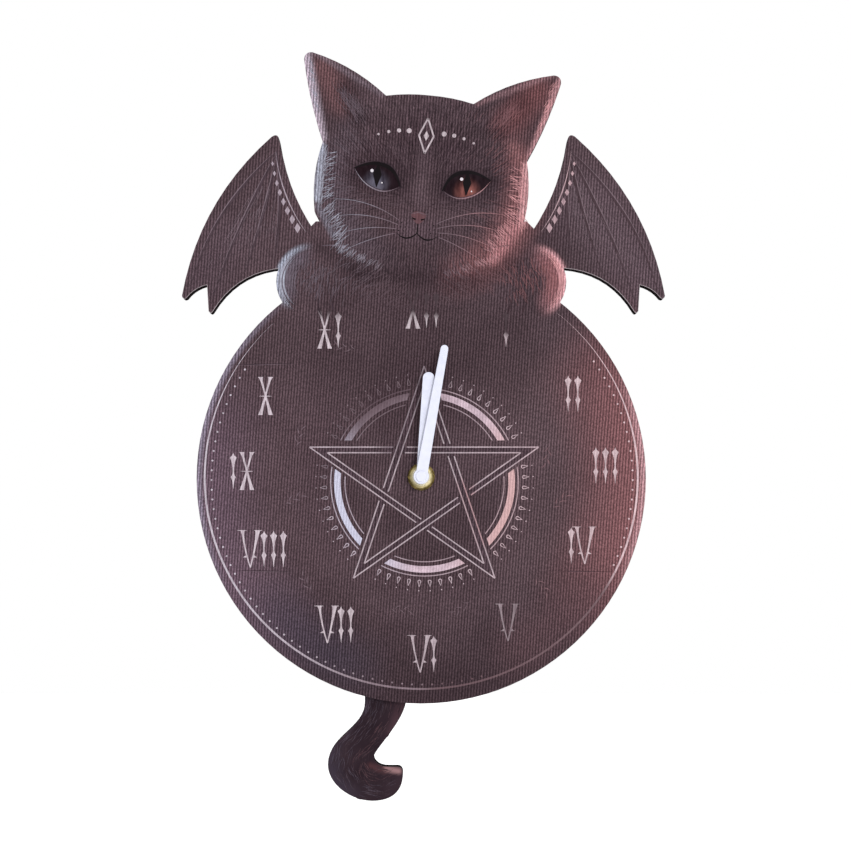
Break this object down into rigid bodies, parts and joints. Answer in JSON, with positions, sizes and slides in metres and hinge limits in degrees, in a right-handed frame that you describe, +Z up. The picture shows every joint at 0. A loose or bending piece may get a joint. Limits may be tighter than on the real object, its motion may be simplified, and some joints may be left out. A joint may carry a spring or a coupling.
{
  "type": "wall clock",
  "caption": "Wall clock cut out as a winged cat: a printed board with a round dial, hands on a battery movement behind it, and a curled tail that swings below the dial as its pendulum.",
  "frame": {"origin": "on the axis of the hands, in the plane of the wall that the movement's back and the hanger lie against", "axes": "+Z up, +X to the right of someone facing the dial, +Y into the wall, so the dial faces -Y"},
  "size_m": [0.22, 0.0337, 0.3425],
  "materials": {
    "board_black": "matte",
    "film_print": "satin",
    "hand_white": "satin",
    "brass": "polished",
    "steel": "satin",
    "case_black": "satin",
    "gear_white": "satin",
    "rubber_black": "matte",
    "copper": "satin",
    "circuit_green": "satin",
    "cell_shell": "gloss",
    "magnet_grey": "satin"
  },
  "bodies": {
    "clock_body": {"backing_board": "board_black", "face_film": "film_print", "threaded_bush": "brass", "rubber_gasket": "rubber_black", "bush_washer": "brass", "bush_nut": "brass", "movement_case": "case_black", "back_cover": "case_black", "stator_plate": "steel", "coil_core": "steel", "coil_bobbin": "gear_white", "coil_winding": "copper", "circuit_board": "circuit_green", "clock_chip": "rubber_black", "quartz_crystal": "steel", "positive_contact": "steel", "negative_contact": "steel", "pivot_pin": "steel", "drive_bobbin": "gear_white", "drive_winding": "copper", "wall_hanger": "steel"},
    "minute": {"minute_arbor": "steel", "minute_wheel": "gear_white", "minute_hand": "hand_white"},
    "hour": {"hour_wheel": "gear_white", "hour_hand": "hand_white"},
    "motion": {"motion_wheel": "gear_white", "set_knob": "case_black"},
    "third": {"third_wheel": "gear_white"},
    "second": {"second_wheel": "gear_white"},
    "intermediate": {"intermediate_wheel": "gear_white"},
    "rotor": {"rotor_arbor": "gear_white", "rotor_magnet": "magnet_grey"},
    "tail": {"tail_board": "board_black", "tail_film": "film_print", "hanging_strip": "steel", "strip_rivet_upper": "steel", "strip_rivet_lower": "steel", "balance_weight": "steel", "pendulum_arm": "gear_white", "pendulum_magnet": "magnet_grey"},
    "battery": {"battery_cell": "cell_shell"}
  },
  "joints": [
    {"name": "minute_turn", "type": "hinge", "parent": "clock_body", "child": "minute", "pos_m": [0, -0.02, 0], "axis": [0, 1, 0], "continuous": true},
    {"name": "hour_turn", "type": "hinge", "parent": "clock_body", "child": "hour", "pos_m": [0, -0.02, 0], "axis": [0, 1, 0], "continuous": true},
    {"name": "motion_turn", "type": "hinge", "parent": "clock_body", "child": "motion", "pos_m": [0.0055, -0.008, 0.00953], "axis": [0, 1, 0], "continuous": true},
    {"name": "third_turn", "type": "hinge", "parent": "clock_body", "child": "third", "pos_m": [-0.00985, -0.008, 0.00264], "axis": [0, 1, 0], "continuous": true},
    {"name": "second_turn", "type": "hinge", "parent": "clock_body", "child": "second", "pos_m": [-0.01063, -0.008, 0.01152], "axis": [0, 1, 0], "continuous": true},
    {"name": "intermediate_turn", "type": "hinge", "parent": "clock_body", "child": "intermediate", "pos_m": [-0.00845, -0.008, 0.01963], "axis": [0, 1, 0], "continuous": true},
    {"name": "rotor_turn", "type": "hinge", "parent": "clock_body", "child": "rotor", "pos_m": [-0.00305, -0.008, 0.01963], "axis": [0, 1, 0], "continuous": true},
    {"name": "tail_swing", "type": "hinge", "parent": "clock_body", "child": "tail", "pos_m": [0, -0.0096, -0.03324], "axis": [0, 1, 0], "range_deg": [-8, 8]},
    {"name": "battery_lift", "type": "slide", "parent": "clock_body", "child": "battery", "axis": [0, 1, 0], "range_m": [0, 0.03]}
  ],
  "couplings": [
    {"joint": "hour_turn", "follows": "minute_turn", "ratio": 0.083333},
    {"joint": "motion_turn", "follows": "minute_turn", "ratio": -0.33333},
    {"joint": "third_turn", "follows": "minute_turn", "ratio": -7.5},
    {"joint": "second_turn", "follows": "minute_turn", "ratio": 60},
    {"joint": "intermediate_turn", "follows": "minute_turn", "ratio": -360},
    {"joint": "rotor_turn", "follows": "minute_turn", "ratio": 1800}
  ]
}
